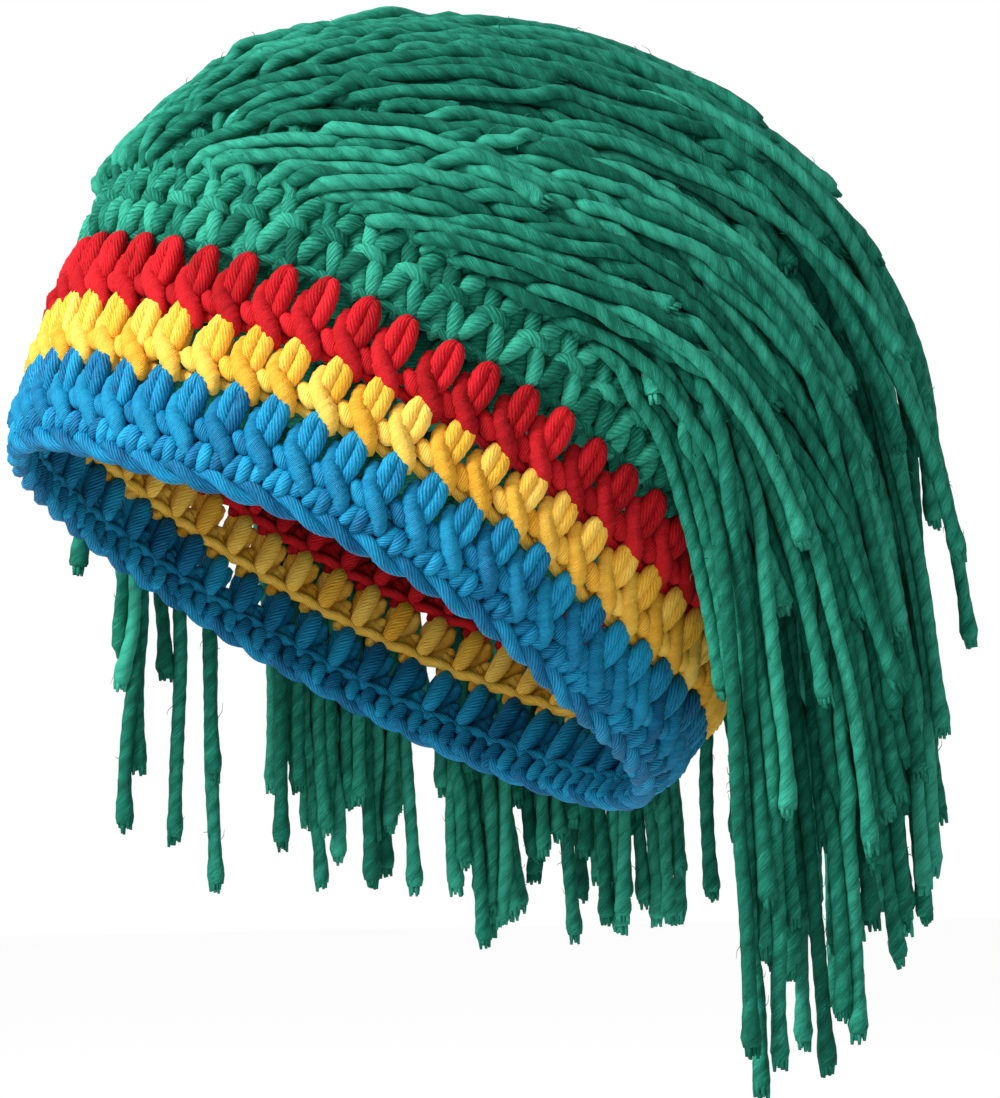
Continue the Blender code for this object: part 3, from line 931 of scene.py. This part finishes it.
def add_camera():
    a, e = CAMERA_AZIMUTH, CAMERA_ELEVATION
    back = Vector((math.sin(a) * math.cos(e), -math.cos(a) * math.cos(e), math.sin(e)))
    right = Vector((math.cos(a), math.sin(a), 0.0))
    up = back.cross(right)
    target = right * CAMERA_AIM[0] + up * CAMERA_AIM[1]
    data = bpy.data.cameras.new("camera")
    data.lens = CAMERA_LENS
    data.sensor_width = 36.0
    data.clip_start = 0.01
    camera = bpy.data.objects.new("camera", data)
    camera.location = target + back * CAMERA_DISTANCE
    camera.rotation_euler = back.to_track_quat("Z", "Y").to_euler()
    bpy.context.scene.collection.objects.link(camera)
    bpy.context.scene.camera = camera


def add_area_light(name, azimuth, elevation, distance, size, power):
    a, e = math.radians(azimuth), math.radians(elevation)
    back = Vector((math.sin(a) * math.cos(e), -math.cos(a) * math.cos(e), math.sin(e)))
    data = bpy.data.lights.new(name, "AREA")
    data.shape = "DISK"
    data.size = size
    data.energy = power
    light = bpy.data.objects.new(name, data)
    light.location = back * distance
    light.rotation_euler = back.to_track_quat("Z", "Y").to_euler()
    bpy.context.scene.collection.objects.link(light)


def light_world(tree):
    """A white backdrop for the camera that lights the object more softly than it looks."""
    background = tree.nodes["Background"]
    background.inputs["Color"].default_value = (1.0, 1.0, 1.0, 1.0)
    seen = add_node(tree, "ShaderNodeLightPath", (-600, 200))
    strength = add_node(tree, "ShaderNodeMapRange", (-300, 200))
    strength.inputs["To Min"].default_value = WORLD_LIGHT
    strength.inputs["To Max"].default_value = 1.0
    tree.links.new(seen.outputs["Is Camera Ray"], strength.inputs["Value"])
    tree.links.new(strength.outputs[0], background.inputs["Strength"])


def add_studio():
    scene = bpy.context.scene
    world = bpy.data.worlds.new("studio")
    world.use_nodes = True
    light_world(world.node_tree)
    scene.world = world
    scene.view_settings.view_transform = "Standard"
    material = bpy.data.materials.new("pale_floor")
    material.use_nodes = True
    shader = material.node_tree.nodes["Principled BSDF"]
    shader.inputs["Base Color"].default_value = (0.92, 0.92, 0.92, 1.0)
    shader.inputs["Roughness"].default_value = 0.8
    shader.inputs["Emission Color"].default_value = (1.0, 1.0, 1.0, 1.0)
    seen = add_node(material.node_tree, "ShaderNodeLightPath", (-600, 0))
    glow = add_node(material.node_tree, "ShaderNodeMath", (-300, 0), operation="MULTIPLY")
    glow.inputs[1].default_value = FLOOR_GLOW
    material.node_tree.links.new(seen.outputs["Is Camera Ray"], glow.inputs[0])
    material.node_tree.links.new(glow.outputs[0], shader.inputs["Emission Strength"])
    mesh = bpy.data.meshes.new("floor")
    edge = 6.0
    mesh.from_pydata(
        [(-edge, -edge, FLOOR_HEIGHT), (edge, -edge, FLOOR_HEIGHT),
         (edge, edge, FLOOR_HEIGHT), (-edge, edge, FLOOR_HEIGHT)], [], [(0, 1, 2, 3)])
    mesh.materials.append(material)
    floor = bpy.data.objects.new("floor", mesh)
    scene.collection.objects.link(floor)
    add_area_light("key", 12.0, 36.0, 1.3, 0.6, 27.0)
    add_area_light("fill", 85.0, 10.0, 1.6, 1.2, 3.5)


add_camera()
add_studio()
# Each yarn's colours in linear light: a dark tone that is also painted shade, its own colour, and a light tone
# that is also painted highlight.
GREEN_DARK_AND_SHADE = (0.000, 0.024, 0.017)
GREEN = (0.002, 0.132, 0.082)
GREEN_LIGHT_AND_HIGHLIGHT = (0.038, 0.390, 0.262)
blue_yarn = yarn_material(
    "blue_yarn", (0.000, 0.040, 0.105), (0.001, 0.150, 0.330), (0.010, 0.340, 0.590), 0.60, 0.06, 13, 0.20)
yellow_yarn = yarn_material(
    "yellow_yarn", (0.600, 0.250, 0.012), (0.900, 0.460, 0.036), (1.000, 0.680, 0.130), 0.80, 0.20, 13, 0.16)
red_yarn = yarn_material(
    "red_yarn", (0.150, 0.001, 0.003), (0.440, 0.002, 0.007), (0.680, 0.014, 0.022), 0.80, 0.08, 13, 0.18)
crown_yarn = yarn_material("crown_yarn", GREEN_DARK_AND_SHADE, GREEN, GREEN_LIGHT_AND_HIGHLIGHT, 0.85, 0.30, 9, 0.08)
mane_yarn = yarn_material("mane_yarn", GREEN_DARK_AND_SHADE, GREEN, GREEN_LIGHT_AND_HIGHLIGHT, 0.85, 0.35, 0, 0.0, 0.13)
build_blue_band(blue_yarn)
build_post_band("yellow_stitches", "yellow_band", YELLOW_TIP, 1, yellow_yarn)
build_post_band("red_stitches", "red_band", RED_TIP, 2, red_yarn)
build_crown(crown_yarn)
build_mane(mane_yarn)
